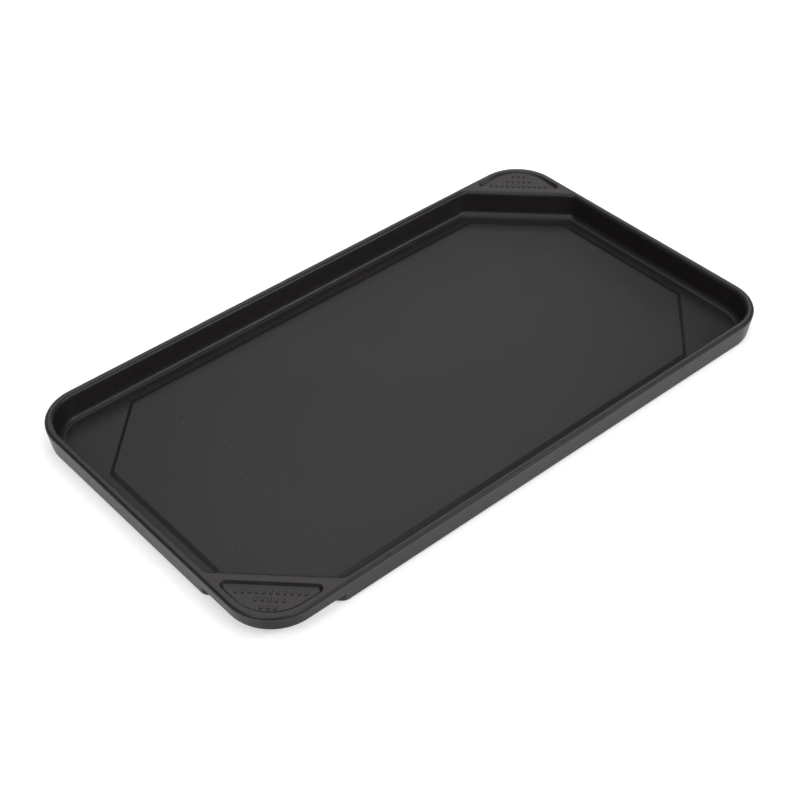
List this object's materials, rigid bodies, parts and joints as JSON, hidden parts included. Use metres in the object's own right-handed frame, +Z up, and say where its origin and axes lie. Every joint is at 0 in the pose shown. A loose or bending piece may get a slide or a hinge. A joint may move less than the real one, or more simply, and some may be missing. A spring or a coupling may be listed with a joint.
{
  "type": "range griddle",
  "caption": "Shallow rectangular cast tray with a raised eight-sided cooking plate, a grease groove, rounded wells and two triangular handle corners, under a black nonstick coat.",
  "frame": {"origin": "centre of the underside, on the surface it stands on", "axes": "+X along the long side, +Z up; the handle corners are at -X -Y and at +X +Y"},
  "size_m": [0.52, 0.294, 0.024],
  "materials": {
    "baked_casting": "cast aluminium with a thin baked black finish, fine cast texture, semi-matt",
    "nonstick": "black nonstick coat, semi-matt, with a fine sprayed texture"
  },
  "bodies": {
    "root": {"griddle_casting": "baked_casting", "nonstick_coating": "nonstick"}
  },
  "joints": []
}
